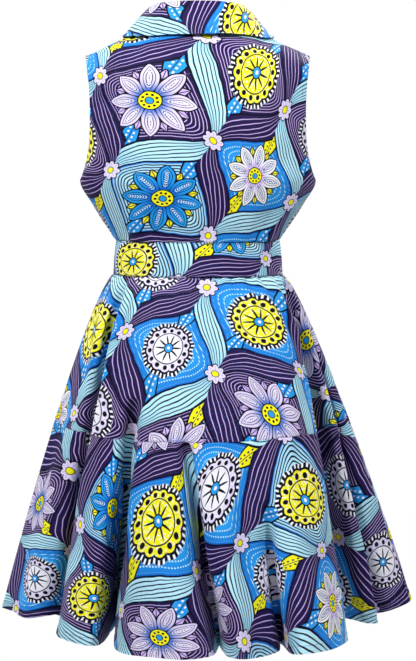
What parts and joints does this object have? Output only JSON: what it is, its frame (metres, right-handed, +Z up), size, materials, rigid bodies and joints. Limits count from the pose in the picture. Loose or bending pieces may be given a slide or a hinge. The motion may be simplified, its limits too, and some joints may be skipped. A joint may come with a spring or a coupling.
{
  "type": "sleeveless wax print dress",
  "caption": "Knee-length sleeveless cotton wax print dress, with a turned-down collar, deep armholes, a fitted waistband and a flared skirt in two tiers, in its worn shape",
  "frame": {"origin": "midway between the two shoulder seams, at their height over the armholes' upper ends, where the dress is carried on the wearer's or hanger's shoulders", "axes": "+Z up, from hem to collar; +X towards the wearer's right; +Y out of the front; the pictured back faces -Y"},
  "size_m": [0.5608, 0.4383, 0.8339],
  "materials": {
    "bodice_back": "crisp semi-matte printed cotton",
    "bodice_front": "crisp semi-matte printed cotton",
    "collar_stand": "crisp semi-matte printed cotton",
    "collar_fall": "crisp semi-matte printed cotton",
    "waistband_back": "crisp semi-matte printed cotton",
    "waistband_front": "crisp semi-matte printed cotton",
    "skirt_upper_back": "crisp semi-matte printed cotton",
    "skirt_upper_front": "crisp semi-matte printed cotton",
    "skirt_lower_back": "crisp semi-matte printed cotton",
    "skirt_lower_front": "crisp semi-matte printed cotton"
  },
  "bodies": {
    "root": {"bodice_back": "bodice_back", "bodice_front": "bodice_front", "collar_stand": "collar_stand", "collar_fall": "collar_fall", "waistband_back": "waistband_back", "waistband_front": "waistband_front", "skirt_upper_back": "skirt_upper_back", "skirt_upper_front": "skirt_upper_front", "skirt_lower_back": "skirt_lower_back", "skirt_lower_front": "skirt_lower_front"}
  },
  "joints": []
}
